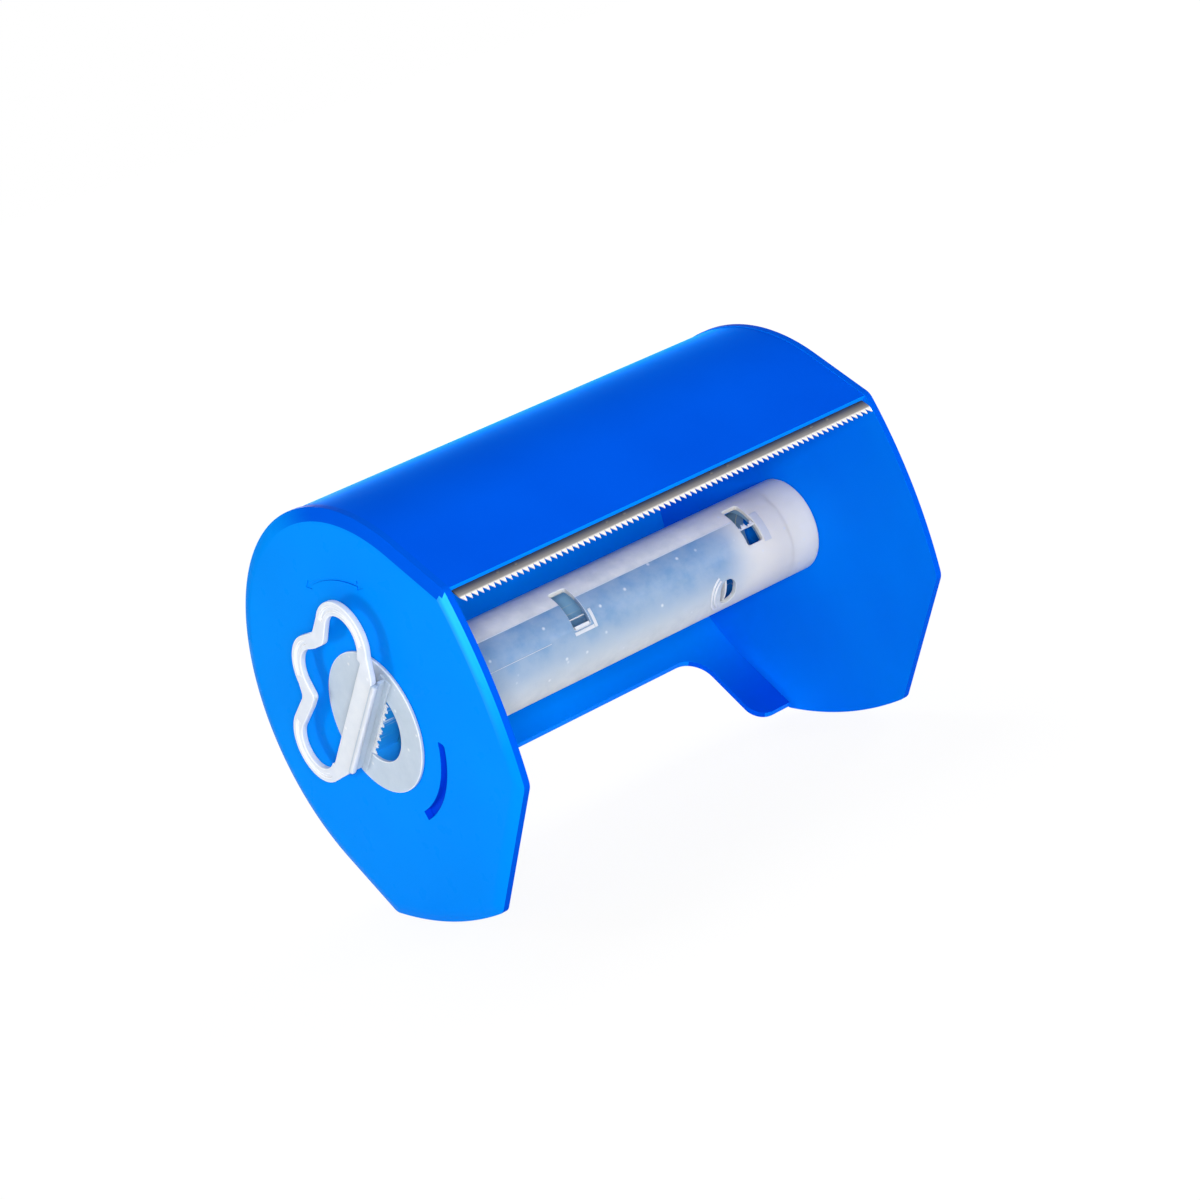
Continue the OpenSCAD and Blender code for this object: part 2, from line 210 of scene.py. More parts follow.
def moulded_blue(name, light, deep, roughness, gloss_level=0.02, gloss_tint="#0090FF",
                 painted_light_and_shade_climb=None, painted_highlight_slope=None, rim=0.0):
    """Glossy blue polypropylene: an even colour with slow flow shades of about 40 mm, a
    faint mould grain of about 0.6 mm and a gloss that breaks up over 6 mm. climb takes the
    place of the flow shades with painted light and shade: a direction and two places on it
    in mm, deep at the first and light at the second. lean paints a highlight on a slope: the
    colour of the level face and the way in which the slope turns from it; the gloss then
    fades with climb. rim is the sheen at a turned-away edge."""
    mat, tree, shader, place = new_material(name)
    if painted_light_and_shade_climb:
        direction, low, high = painted_light_and_shade_climb
        shade = spread(tree, along(tree, place, direction), high * MM, low * MM, smooth=True)
    else:
        shade = spread(tree, noise(tree, place, 40, 2.0), 0.3, 0.7)
    colour = blend(tree, shade, light, deep)
    shader.inputs["Specular IOR Level"].default_value = gloss_level
    if painted_highlight_slope:
        level, way = painted_highlight_slope
        slope = along(tree, add(tree, "TexCoord").outputs["Normal"], way)
        colour = blend(tree, spread(tree, slope, 0.02, 0.3, smooth=True), level, colour)
        fade = spread(tree, shade, 0.0, 1.0, gloss_level, 0.01)
        tree.links.new(fade, shader.inputs["Specular IOR Level"])
    tree.links.new(colour, shader.inputs["Base Color"])
    gloss = spread(tree, noise(tree, place, 6, 4.0), 0.3, 0.7, roughness - 0.04, roughness + 0.05)
    tree.links.new(gloss, shader.inputs["Roughness"])
    grain = noise(tree, place, 0.6, 2.0)
    bump = add(tree, "Bump", {"Strength": 0.02, "Distance": 0.03 * MM}, {"Height": grain})
    tree.links.new(bump.outputs["Normal"], shader.inputs["Normal"])
    shader.inputs["IOR"].default_value = 1.49
    shader.inputs["Specular Tint"].default_value = srgb(gloss_tint)
    shader.inputs["Sheen Weight"].default_value = rim
    shader.inputs["Sheen Roughness"].default_value = 0.25
    shader.inputs["Sheen Tint"].default_value = srgb("#0090FF")
    return mat


def side(radius):
    """Ends of the arch and of the flared side below it, for one face of the wall."""
    turn = math.radians(FLARE)
    top = Vector((radius * math.cos(turn), ARCH_RISE + radius * math.sin(turn)))
    run = (top.y + LIP_DROP) / math.cos(turn)
    return top, top + run * Vector((math.sin(turn), -math.cos(turn)))


bm = bmesh.new()
out_top, out_lip = side(ROOF_OUT)
in_top, in_lip = side(ROOF_IN)
start = bm.verts.new((-INNER_W / 2, *out_lip))
v = to(bm, start, *out_top)
v = arc(bm, v, (0, ARCH_RISE), 180 - 2 * FLARE, ROOF_STEPS)
v = to(bm, v, -out_lip.x, out_lip.y)
v = to(bm, v, -in_lip.x, in_lip.y)
v = to(bm, v, -in_top.x, in_top.y)
v = arc(bm, v, (0, ARCH_RISE), 2 * FLARE - 180, ROOF_STEPS)
v = to(bm, v, *in_lip)
pull(bm, [close(bm, v, start)], (INNER_W, 0, 0))
roof = mesh_piece("roof_shell", bm)

bm = bmesh.new()
start = bm.verts.new((0, NOTCH_HALF + FOOT_R, -LIP_DROP))
v = arc(bm, start, (NOTCH_HALF + FOOT_R, FOOT_R - LIP_DROP), -90, 10)
v = to(bm, v, NOTCH_HALF, NOTCH_TOP - NOTCH_R)
v = arc(bm, v, (NOTCH_HALF - NOTCH_R, NOTCH_TOP - NOTCH_R), 90, 12)
v = to(bm, v, NOTCH_R - NOTCH_HALF, NOTCH_TOP)
v = arc(bm, v, (NOTCH_R - NOTCH_HALF, NOTCH_TOP - NOTCH_R), 90, 12)
v = to(bm, v, -NOTCH_HALF, FOOT_R - LIP_DROP)
v = arc(bm, v, (-NOTCH_HALF - FOOT_R, FOOT_R - LIP_DROP), -90, 10)
v = to(bm, v, -NOTCH_HALF - FOOT_R, -LIP_DROP - NOTCH_BELOW)
v = to(bm, v, NOTCH_HALF + FOOT_R, -LIP_DROP - NOTCH_BELOW)
pull(bm, [close(bm, v, start)], (NOTCH_THROUGH, 0, 0))
across = Matrix.Translation((0, NOTCH_FROM, 0)) @ Matrix.Rotation(math.pi / 2, 4, "Z")
cut(roof, mesh_piece("notch_cutter", bm, HOUSING @ across))
upright = HOUSING.col[2].xyz.normalized()
# Painted shade: the roof's outer blue is a darker copy of the plates' blue, for its upturned faces.
roof.data.materials.append(moulded_blue("blue_pp_roof_painted_shade", "#0054DC", "#004FD5", 0.32, 0.001, rim=1.0))
# Painted shade: the inside is painted lighter up towards the arch and darker down towards the feet.
roof.data.materials.append(moulded_blue("blue_pp_inside_painted_shade", "#0090F8", "#004ED0", 0.36, painted_light_and_shade_climb=(upright, -14, 34)))
# Painted light: the cut edges of the wall, the lip's edge among them, are a lighter copy of the blue.
roof.data.materials.append(moulded_blue("blue_pp_cut_edge_painted_light", "#0086FF", "#0080FA", 0.30))
for face in roof.data.polygons:
    at = HOUSING.inverted() @ face.center
    outward = HOUSING.to_3x3() @ Vector((0, at.y, max(at.z - ARCH_RISE, 0)))
    facing = face.normal.dot(outward.normalized())
    if facing < -0.5:
        face.material_index = 1
    elif facing < 0.5 and abs(face.normal.x) < 0.5:
        face.material_index = 2
round_off(roof, 0.35, 40)
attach(roof, "housing")
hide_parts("roof")

# End plates: two arched cheeks with bulged lower edges and a flat foot, bevelled round the
# outer face. Blue polypropylene, moulded 3 mm thick; the near one has a gate for the
# spindle, a curved slot and an engraved arrow, the far one a hollow stub for the bush.
ARCH_R = 61.7
ARCH_STEPS = 120
BASE_HALF = 24.6
BASE_DROP = 58.6
BULGE_C = (58.63, 58.34)
BULGE_TURN = 22.66
BULGE_STEPS = 24
RIM_T = 2.0
BEVEL_T = 1.0
BEVEL_IN = 3.0
SOFT_R = 1.2
CORNER_REACH = 6.0
FACE_X = -INNER_W / 2 - RIM_T - BEVEL_T
STUB_OUT, STUB_IN, STUB_L, STUB_SINK = 10.45, 8.45, 8.0, 0.2
GATE_R, GATE_THROUGH = 15.25, 20.0
LUG_WAYS = (90, 270)
LUG_GATE_IN, LUG_GATE_OUT, LUG_GATE_HALF = 14.0, 18.0, 11.0
SLOT_R, SLOT_HALF, SLOT_FROM, SLOT_SPAN, SLOT_DEEP = 29.3, 1.35, -118.0, 61.0, 2.0
SLOT_SLANT = 2.0
ARROW_R, ARROW_HALF, ARROW_FROM, ARROW_SPAN, ARROW_DEEP = 42.0, 0.4, 125.0, 34.0, 0.3
HEAD_HALF, HEAD_L = 1.5, 2.6
ALONG_X = Matrix.Rotation(math.pi / 2, 4, "Y")


def soften(bm, edges, radius, segments):
    """Rounds chosen edges of a shape by a radius in mm."""
    bmesh.ops.bevel(bm, geom=edges, offset=radius, offset_type="OFFSET", segments=segments, profile=0.5,
                    affect="EDGES", material=-1)


def run_x(edge):
    """How far an edge runs along the spindle, in mm."""
    return abs(edge.verts[0].co.x - edge.verts[1].co.x)


def plate_blank():
    """One plate, inner face at x = 0 and outer face towards +X, with rounded corners."""
    bm = bmesh.new()
    top, lip = side(ARCH_R)
    start = bm.verts.new((0, *top))
    v = arc(bm, start, (0, ARCH_RISE), 180 - 2 * FLARE, ARCH_STEPS)
    a = to(bm, v, -lip.x, lip.y)
    b = arc(bm, a, BULGE_C, BULGE_TURN, BULGE_STEPS)
    c = to(bm, b, BASE_HALF, -BASE_DROP)
    d = arc(bm, c, (-BULGE_C[0], BULGE_C[1]), BULGE_TURN, BULGE_STEPS)
    corners = [v.co.copy() for v in (a, b, c, d)]
    pull(bm, [close(bm, d, start)], (RIM_T, 0, 0))
    outer = [f for f in bm.faces if f.normal.x > 0.9]
    bmesh.ops.inset_region(bm, faces=outer, thickness=BEVEL_IN, depth=BEVEL_T, use_even_offset=True)
    soften(bm, [e for f in outer for e in f.edges], SOFT_R, 6)
    posts = [e for e in bm.edges if run_x(e) > 0.5 and e.calc_face_angle(0) > 0.15]
    near = [e for e in posts if any((e.verts[0].co.yz - k.yz).length < CORNER_REACH for k in corners)]
    soften(bm, near, SOFT_R, 4)
    return bm


def ring_sector(x0, x1, r0, r1, from_deg, span, steps):
    """Part of a flat ring about the spindle, as a closed shape."""
    bm = bmesh.new()
    turn = math.radians(from_deg)
    ends = [bm.verts.new((x0, r * math.cos(turn), r * math.sin(turn))) for r in (r0, r1)]
    edge = bm.edges.new(ends)
    bmesh.ops.spin(bm, geom=[edge, *ends], cent=(0, 0, 0), axis=(1, 0, 0), angle=math.radians(span),
                   steps=steps, use_duplicate=False)
    pull(bm, bm.faces[:], (x1 - x0, 0, 0))
    return bm


to_far = Matrix.Translation((INNER_W / 2, 0, 0))
to_near = Matrix.Translation((-INNER_W / 2, 0, 0)) @ Matrix.Scale(-1, 4, (1, 0, 0))
far_plate = mesh_piece("far_plate", plate_blank(), HOUSING @ to_far)
bm = bmesh.new()
for r in (STUB_OUT, STUB_IN):
    bmesh.ops.create_circle(bm, radius=r, segments=64,
                            matrix=Matrix.Translation((INNER_W / 2 - STUB_L, 0, 0)) @ ALONG_X)
bmesh.ops.bridge_loops(bm, edges=bm.edges[:])
pull(bm, bm.faces[:], (STUB_L + STUB_SINK, 0, 0))
stub = mesh_piece("far_stub", bm)

near_plate = mesh_piece("near_plate", plate_blank(), HOUSING @ to_near)
bm = bmesh.new()
bmesh.ops.create_cone(bm, cap_ends=True, segments=96, radius1=GATE_R, radius2=GATE_R, depth=GATE_THROUGH,
                      matrix=Matrix.Translation((FACE_X, 0, 0)) @ ALONG_X)
cutters = [mesh_piece("gate_cutter", bm)]
for at in LUG_WAYS:
    bm = ring_sector(FACE_X - 2, FACE_X + 6, LUG_GATE_IN, LUG_GATE_OUT, at - LUG_GATE_HALF, 2 * LUG_GATE_HALF, 6)
    cutters.append(mesh_piece("lug_cutter", bm))
bm = ring_sector(FACE_X - 2, FACE_X + SLOT_DEEP, SLOT_R - SLOT_HALF, SLOT_R + SLOT_HALF, SLOT_FROM, SLOT_SPAN, 32)
posts = [e for e in bm.edges if run_x(e) > 1 and e.verts[0].co.yz.length > SLOT_R]
soften(bm, [min(posts, key=lambda e: e.verts[0].co.y)], SLOT_SLANT, 2)
cutters.append(mesh_piece("slot_cutter", bm))
bm = ring_sector(FACE_X - 1, FACE_X + ARROW_DEEP, ARROW_R - ARROW_HALF, ARROW_R + ARROW_HALF,
                 ARROW_FROM, ARROW_SPAN, 20)
cutters.append(mesh_piece("arrow_cutter", bm))
for at, way in ((ARROW_FROM, -1), (ARROW_FROM + ARROW_SPAN, 1)):
    bm = bmesh.new()
    head = ((-HEAD_HALF, -0.1), (HEAD_HALF, -0.1), (0, HEAD_L))
    tips = [bm.verts.new((FACE_X - 1, ARROW_R + p, way * q)) for p, q in head]
    pull(bm, bmesh.ops.contextual_create(bm, geom=tips)["faces"], (1 + ARROW_DEEP, 0, 0))
    turned = HOUSING @ Matrix.Rotation(math.radians(at), 4, "X")
    cutters.append(mesh_piece("arrow_head_cutter", bm, turned))
cut(near_plate, *cutters)
plate_blue = moulded_blue("blue_pp_plate", "#0086EC", "#0082E8", 0.30, 0.006)
far_blue = moulded_blue("blue_pp_far_plate", "#007AF0", "#0072EA", 0.34, 0.006)
# Painted shade: the rim faces that turn up are a darker copy of the plate blue, darkest at the front and lighter
# towards the rear.
arch_painted_shade_blue = moulded_blue("blue_pp_plate_rim_painted_shade", "#0052D2", "#0084EA", 0.28, 0.002,
                         painted_light_and_shade_climb=(Vector((0, -1, 0)), -24, 4))
# Painted highlight: the near plate's front bevel is painted cyan at the top, fading down and onto the level face to
# the plate blue.
edge_painted_highlight_blue = moulded_blue("blue_pp_plate_edge_painted_highlight", "#00AAFC", "#0086EC", 0.30, 0.3, "#00C8FF",
                         painted_light_and_shade_climb=(Vector((0, 0, 1)), -12, 26), painted_highlight_slope=("#0084EA", (0, -1, 0)))
# Painted shadow: the faces in and round the curved slot are a dark blue that stands in for the shade inside it.
slot_painted_shadow_blue = moulded_blue("blue_pp_slot_painted_shadow", "#0044D8", "#003CCC", 0.4)
for piece, node, blue in ((near_plate, "left_end_plate", plate_blue), (far_plate, "right_end_plate", far_blue)):
    piece.data.materials.append(blue)
    piece.data.materials.append(arch_painted_shade_blue)
    piece.data.materials.append(edge_painted_highlight_blue if piece is near_plate else blue)
    piece.data.materials.append(slot_painted_shadow_blue)
    for face in piece.data.polygons:
        radii = [(HOUSING.inverted() @ piece.data.vertices[v].co).yz.length for v in face.vertices]
        tilt = face.normal.yz.length
        if SLOT_R - 2 < min(radii) and max(radii) < SLOT_R + 2:
            face.material_index = 3
        elif tilt > 0.04 and min(radii) > 40:
            if face.normal.z > 0.4 * tilt or (tilt > 0.9 and face.normal.y < -0.5):
                face.material_index = 1
            elif face.normal.y < -0.6 * tilt and face.normal.z > -0.4 * tilt:
                face.material_index = 2
    round_off(piece, 0.35, 14)
    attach(piece, "housing")
    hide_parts(node)
round_off(stub, 0.4, 40)
stub.data.materials.append(far_blue)
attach(stub, "housing")

# Cutter: a stamped strip of spring steel, 0.5 mm thick, that stands about 5 mm out
# from behind the front lip. Its teeth are punched and ground bright; pairs of small
# pressed dimples mark where it is staked to the lip.
BLADE_T = 0.5
BLADE_REACH = 5.4
BLADE_HIDE = 8.0
BLADE_GAP = 0.7
TOOTH = 1.92
TOOTH_H = 2.1
TEETH = 78
GROUND = 0.12
PAIR_PITCH, PAIR_HALF = 38.0, 3.1
DIMPLE_R, DIMPLE_FLAT, DIMPLE_DROP, DIMPLE_IN = 0.6, 0.4, 0.9, 0.05
ROOT_Z = TOOTH_H - BLADE_REACH
STRIP_HALF = TEETH * TOOTH / 2
PAIRS = [p * PAIR_PITCH + s * PAIR_HALF for p in (-1.5, -0.5, 0.5, 1.5) for s in (-1, 1)]
lip_at = Matrix.Translation((0, -BLADE_GAP - side(ROOF_IN)[1].x, -LIP_DROP))
AT_LIP = HOUSING @ lip_at @ Matrix.Rotation(-math.radians(FLARE), 4, "X")
bm = bmesh.new()
tooth = ((0, BLADE_HIDE), (0, ROOT_Z), (TOOTH / 2, -BLADE_REACH), (TOOTH, ROOT_Z), (TOOTH, BLADE_HIDE))
cell = [bm.verts.new((x - STRIP_HALF, 0, z)) for x, z in tooth]
face = bmesh.ops.contextual_create(bm, geom=cell)["faces"][0]
bmesh.ops.spin(bm, geom=[face, *face.edges, *cell], cent=(0, 0, 0), axis=(0, 0, 1), dvec=(TOOTH, 0, 0),
               angle=0, steps=TEETH - 1, use_duplicate=True)
bmesh.ops.remove_doubles(bm, verts=bm.verts[:], dist=0.001)
pull(bm, bm.faces[:], (0, BLADE_T, 0))
sharp = [e for e in bm.edges if e.is_manifold and e.calc_face_angle(0) > 0.5
         and min(v.co.z for v in e.verts) < ROOT_Z + 0.01 and abs(e.verts[0].co.y - e.verts[1].co.y) < 0.01]
soften(bm, sharp, GROUND, 1)
for x in PAIRS:
    at = Matrix.Translation((x, DIMPLE_IN, -DIMPLE_DROP)) @ Matrix.Diagonal((1, DIMPLE_FLAT, 1, 1))
    bmesh.ops.create_uvsphere(bm, u_segments=16, v_segments=8, radius=DIMPLE_R, matrix=at)
blade = mesh_piece("cutter_strip", bm, AT_LIP)
blade.data.shade_smooth()
blade.data.set_sharp_from_angle(angle=math.radians(30))


def drawn_lines(tree, place, length, width, detail):
    """Noise drawn out along the spindle, in lines of a length and a width in mm."""
    stretch = (1 / (length * MM), 1 / (width * MM), 1 / (width * MM))
    drawn = add(tree, "VectorMath", {1: stretch}, {0: place}, operation="MULTIPLY").outputs["Vector"]
    return add(tree, "TexNoise", {"Scale": 1.0, "Detail": detail}, {"Vector": drawn}).outputs["Fac"]


def strip_steel(name):
    """Cold-rolled spring steel: grey with fine rolling lines along the strip about
    0.3 mm apart, with painted shade that darkens it towards the lip, and bright where it was ground."""
    mat, tree, shader, place = new_material(name)
    top = AT_LIP @ Vector((0, 0, 0))
    tip = AT_LIP @ Vector((0, 0, -BLADE_REACH))
    down = (tip - top).normalized()
    # Painted shade: the ramp runs from near black under the lip through grey to bright at the teeth.
    depth = spread(tree, along(tree, place, down), down.dot(top), down.dot(tip))
    ramp = add(tree, "ValToRGB", links={"Fac": depth})
    stops = ramp.color_ramp.elements
    stops[0].position, stops[0].color = 0.0, srgb("#3A3736")
    stops[1].position, stops[1].color = 0.68, srgb("#F2EEE8")
    for at, code in ((0.3, "#6C6967"), (0.58, "#96928E")):
        stop = stops.new(at)
        stop.color = srgb(code)
    rolled = drawn_lines(tree, place, 12, 0.3, 3.0)
    tint = spread(tree, rolled, 0.3, 0.7, 0.88, 1.06)
    colour = add(tree, "VectorMath", links={0: ramp.outputs["Color"], "Scale": tint}, operation="SCALE")
    tree.links.new(colour.outputs["Vector"], shader.inputs["Base Color"])
    bump = add(tree, "Bump", {"Strength": 0.15, "Distance": 0.02 * MM}, {"Height": rolled})
    tree.links.new(bump.outputs["Normal"], shader.inputs["Normal"])
    shader.inputs["Metallic"].default_value = 0.6
    shader.inputs["Roughness"].default_value = 0.42
    return mat


blade.data.materials.append(strip_steel("rolled_spring_steel"))
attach(blade, "housing")
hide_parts("cutter_blade")

# Stakes: eight small blue posts moulded on the lip, in four pairs. They pass through
# holes in the strip and their heads are melted over it.
STAKE_HEAD_R, STAKE_HEAD_FLAT = 1.8, 0.44
POST_R, POST_L = 1.0, 1.7
bm = bmesh.new()
for x in PAIRS:
    head_at = Matrix.Translation((x, BLADE_T, BLADE_HIDE / 2)) @ Matrix.Diagonal((1, STAKE_HEAD_FLAT, 1, 1))
    bmesh.ops.create_uvsphere(bm, u_segments=24, v_segments=12, radius=STAKE_HEAD_R, matrix=head_at)
    post_at = Matrix.Translation((x, BLADE_T - POST_L / 2, BLADE_HIDE / 2)) @ Matrix.Rotation(math.pi / 2, 4, "X")
    bmesh.ops.create_cone(bm, cap_ends=True, segments=24, radius1=POST_R, radius2=POST_R, depth=POST_L, matrix=post_at)
back_half = [v for v in bm.verts if BLADE_T - 0.8 < v.co.y < BLADE_T - 0.01]
bmesh.ops.delete(bm, geom=back_half, context="VERTS")
bmesh.ops.holes_fill(bm, edges=[e for e in bm.edges if e.is_boundary])
stakes = mesh_piece("blade_stakes", bm, AT_LIP)
stakes.data.shade_smooth()
stakes.data.set_sharp_from_angle(angle=math.radians(40))
stakes.data.materials.append(moulded_blue("blue_pp_stakes", "#0060EE", "#0056E2", 0.4))
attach(stakes, "housing")
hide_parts("blade_rivets")

# End bush: the whiter collar at the far end of the spindle, with a sleeve inside the
# tube. Natural polypropylene, moulded smooth; it slips over the far plate's stub.
TUBE_R = 14.55
BUSH_X = 64.95
BUSH_END = 75.45
BUSH_IN = 10.5
SLEEVE_X = 56.65
SLEEVE_R = 13.1


def lathe(bm, profile, segments=96):
    """Spins a closed section, given as x and radius in mm, about the spindle."""
    ring = [bm.verts.new((x, 0, r)) for x, r in profile]
    edges = [bm.edges.new((ring[i - 1], ring[i])) for i in range(len(ring))]
    bmesh.ops.spin(bm, geom=ring + edges, cent=(0, 0, 0), axis=(1, 0, 0), angle=2 * math.pi, steps=segments,
                   use_merge=True, use_duplicate=False)
    bmesh.ops.remove_doubles(bm, verts=bm.verts[:], dist=0.0005)
    bmesh.ops.recalc_face_normals(bm, faces=bm.faces[:])


def work_out(tree, operation, *terms):
    """One sum on terms that are each a number or a socket."""
    node = add(tree, "Math", operation=operation)
    for i, term in enumerate(terms):
        if isinstance(term, float):
            node.inputs[i].default_value = term
        else:
            tree.links.new(term, node.inputs[i])
    return node.outputs["Value"]


def milky(name, light, deep, roughness, through=0.15, scatter=0.35, clear=None, streaks=None, far=None):
    """Natural polypropylene: milky white with cloudy patches of about 6 mm, small frosted
    specks about 5 mm apart and fine drag marks along the spindle, about 0.5 mm apart.
    clear gives a bluer band round the spindle, painted shade where the blue housing shows
    through the wall, and the colour of its far end, painted light where the white bush shows
    through; far gives the colour that a bore turns between two places along it in mm, a
    painted deeper blue shade; and streaks the pale draw marks inside a bore."""
    mat, tree, shader, place = new_material(name)
    cloud = noise(tree, place, 6, 4.0, 0.6)
    colour = blend(tree, spread(tree, cloud, 0.3, 0.7), light, deep)
    if clear or far:
        xyz = add(tree, "SeparateXYZ", links={"Vector": place}).outputs
    if clear:
        angle = work_out(tree, "ADD", work_out(tree, "ARCTAN2", xyz["Z"], xyz["Y"]), -clear["from"])
        around = work_out(tree, "WRAP", angle, -math.pi, math.pi)
        painted_see_through_band = spread(tree, around, 0.0, clear["soft"])
        for part in (spread(tree, around, clear["full"], clear["end_at"], 1.0, 0.0, smooth=True),
                     spread(tree, xyz["X"], 38 * MM, 62 * MM, 1.0, 0.0, smooth=True),
                     spread(tree, cloud, 0.35, 0.65, 1.0, 0.8)):
            painted_see_through_band = work_out(tree, "MULTIPLY", painted_see_through_band, part)
        colour = blend(tree, painted_see_through_band, colour, clear["colour"])
        colour = blend(tree, spread(tree, xyz["X"], 38 * MM, 60 * MM, smooth=True), colour, clear["end"])
    if far:
        begin, end, painted_shade_end = far
        colour = blend(tree, spread(tree, xyz["X"], begin * MM, end * MM, smooth=True), colour, painted_shade_end)
    if streaks:
        colour = blend(tree, spread(tree, drawn_lines(tree, place, 30, 1.2, 3.0), 0.62, 0.7), colour, streaks)
    specks = add(tree, "TexVoronoi", {"Scale": 1 / (5 * MM), "Randomness": 1.0}, {"Vector": place})
    frost = spread(tree, specks.outputs["Distance"], 0.04, 0.13, 0.7, 0.0)
    tree.links.new(blend(tree, frost, colour, "#F2F5F7"), shader.inputs["Base Color"])
    drag = drawn_lines(tree, place, 14, 0.5, 2.0)
    gloss = spread(tree, drag, 0.3, 0.7, roughness - 0.06, roughness + 0.08)
    tree.links.new(gloss, shader.inputs["Roughness"])
    relief = work_out(tree, "ADD", work_out(tree, "MULTIPLY", frost, 2.0), drag)
    bump = add(tree, "Bump", {"Strength": 0.12, "Distance": 0.06 * MM}, {"Height": relief})
    tree.links.new(bump.outputs["Normal"], shader.inputs["Normal"])
    shader.inputs["IOR"].default_value = 1.49
    shader.inputs["Transmission Weight"].default_value = through
    shader.inputs["Subsurface Weight"].default_value = scatter
    shader.inputs["Subsurface Radius"].default_value = (1.0, 1.0, 1.0)
    shader.inputs["Subsurface Scale"].default_value = 4 * MM
    shader.inputs["Specular IOR Level"].default_value = 0.35
    return mat


bm = bmesh.new()
lathe(bm, [(BUSH_X, BUSH_IN), (BUSH_X, TUBE_R), (BUSH_END, TUBE_R), (BUSH_END, BUSH_IN)])
bush = mesh_piece("bush_collar", bm)
round_off(bush, 0.06, 40)
bush.data.materials.append(milky("natural_pp_bush", "#FFF8E6", "#FBF4E2", 0.42))
# Painted shade: the sleeve and the collar's bore are painted blue-grey for the blue light inside the tube.
sleeve_painted_blue_shade = milky("natural_pp_sleeve_painted_blue_shade", "#94C0E4", "#88B6DC", 0.42)
bush.data.materials.append(sleeve_painted_blue_shade)
for face in bush.data.polygons:
    if (HOUSING.inverted() @ face.center).yz.length < BUSH_IN + 0.1:
        face.material_index = 1
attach(bush, "bush")
bm = bmesh.new()
lathe(bm, [(SLEEVE_X, BUSH_IN), (SLEEVE_X, SLEEVE_R), (BUSH_X, SLEEVE_R), (BUSH_X, BUSH_IN)])
sleeve = mesh_piece("bush_sleeve", bm)
round_off(sleeve, 0.3, 40)
sleeve.data.materials.append(sleeve_painted_blue_shade)
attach(sleeve, "bush")
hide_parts("end_bush")

# Spindle tube: the core that carries the film roll. Natural polypropylene, moulded
# 1.4 mm thick, with two windows and an oval eye; its near end is a little thicker
# where it turns in the gate.
TUBE_IN = 13.15
TUBE_NEAR = -78.85
TUBE_FAR = 65.2
NECK_R = 14.85
NECK_X = -72.95
WINDOWS = ((-17.3, -11.2, 166, 56), (49.5, 55.4, 164, 56.5))
WINDOW_IN, WINDOW_OUT, WINDOW_CORNER = 11.5, 17.0, 1.1
EYE_R, EYE_HALF = 3.0, 1.2
EYE_X, EYE_TURN = 39.0, -187.0
EYE_FROM, EYE_THROUGH = 8.0, 12.0
SEAM = 185.5
bm = bmesh.new()
lathe(bm, [(TUBE_NEAR, TUBE_IN), (TUBE_NEAR, NECK_R), (NECK_X, NECK_R), (NECK_X, TUBE_R), (TUBE_FAR, TUBE_R),
           (TUBE_FAR, TUBE_IN)])
tube = mesh_piece("spindle_core", bm)
cutters = []
for x0, x1, from_deg, span in WINDOWS:
    bm = ring_sector(x0, x1, WINDOW_IN, WINDOW_OUT, from_deg, span, 20)
    posts = [e for e in bm.edges if e.calc_face_angle(0) > 1.2 and run_x(e) < 0.01
             and abs(e.verts[0].co.yz.length - e.verts[1].co.yz.length) > 1]
    soften(bm, posts, WINDOW_CORNER, 5)
    cutters.append(mesh_piece("window_cutter", bm))
bm = bmesh.new()
for s in (-1, 1):
    bmesh.ops.create_circle(bm, radius=EYE_R, segments=40, cap_ends=False,
                            matrix=Matrix.Translation((0, s * EYE_HALF, EYE_FROM)))
bmesh.ops.convex_hull(bm, input=bm.verts[:])
bmesh.ops.dissolve_limit(bm, angle_limit=0.01, verts=bm.verts[:], edges=bm.edges[:])
pull(bm, bm.faces[:], (0, 0, EYE_THROUGH))
EYE_AT = HOUSING @ Matrix.Translation((EYE_X, 0, 0)) @ Matrix.Rotation(math.radians(EYE_TURN), 4, "X")
cutters.append(mesh_piece("eye_cutter", bm, EYE_AT))
cut(tube, *cutters)
# Painted highlight on the rounded edges of the tube, cap and ring, which are whiter than their faces; the torn films
# and the eye ramp have this white as their own colour.
film_white_and_edge_highlight = milky("natural_pp_film_and_edge_highlight", "#FAFBFC", "#F0F3F6", 0.38)
# Painted shade and light: a bluer band where the blue housing shows through the milky wall, and a cream far end where
# the bush shows through.
tube.data.materials.append(milky("natural_pp_tube_painted_shade", "#F6F6EE", "#DCE0DE", 0.46, 0.2, clear={
    "from": math.radians(SEAM) + LEAN - math.pi / 2, "soft": math.radians(1.2), "full": math.radians(30),
    "end_at": math.radians(112), "colour": "#7098BE", "end": "#FFF8E6"}))
tube.data.materials.append(film_white_and_edge_highlight)
# Painted shade: the white tube's bore is painted light blue, and deeper blue further in, for the blue light and shade
# inside the housing.
tube.data.materials.append(milky("natural_pp_bore_painted_shade", "#A0D6FF", "#94CEFE", 0.4, 0.05, 0.1, streaks="#E8F4FC",
                                 far=(15, 40, "#1C94F8")))
for face in tube.data.polygons:
    if (HOUSING.inverted() @ face.center).yz.length < TUBE_IN + 0.1:
        face.material_index = 2
# Painted highlight: the tube's rounded edges take the whiter edge colour.
round_off(tube, 0.22, 40, 2, edge=1)
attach(tube, "spindle")
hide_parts("spindle_tube")

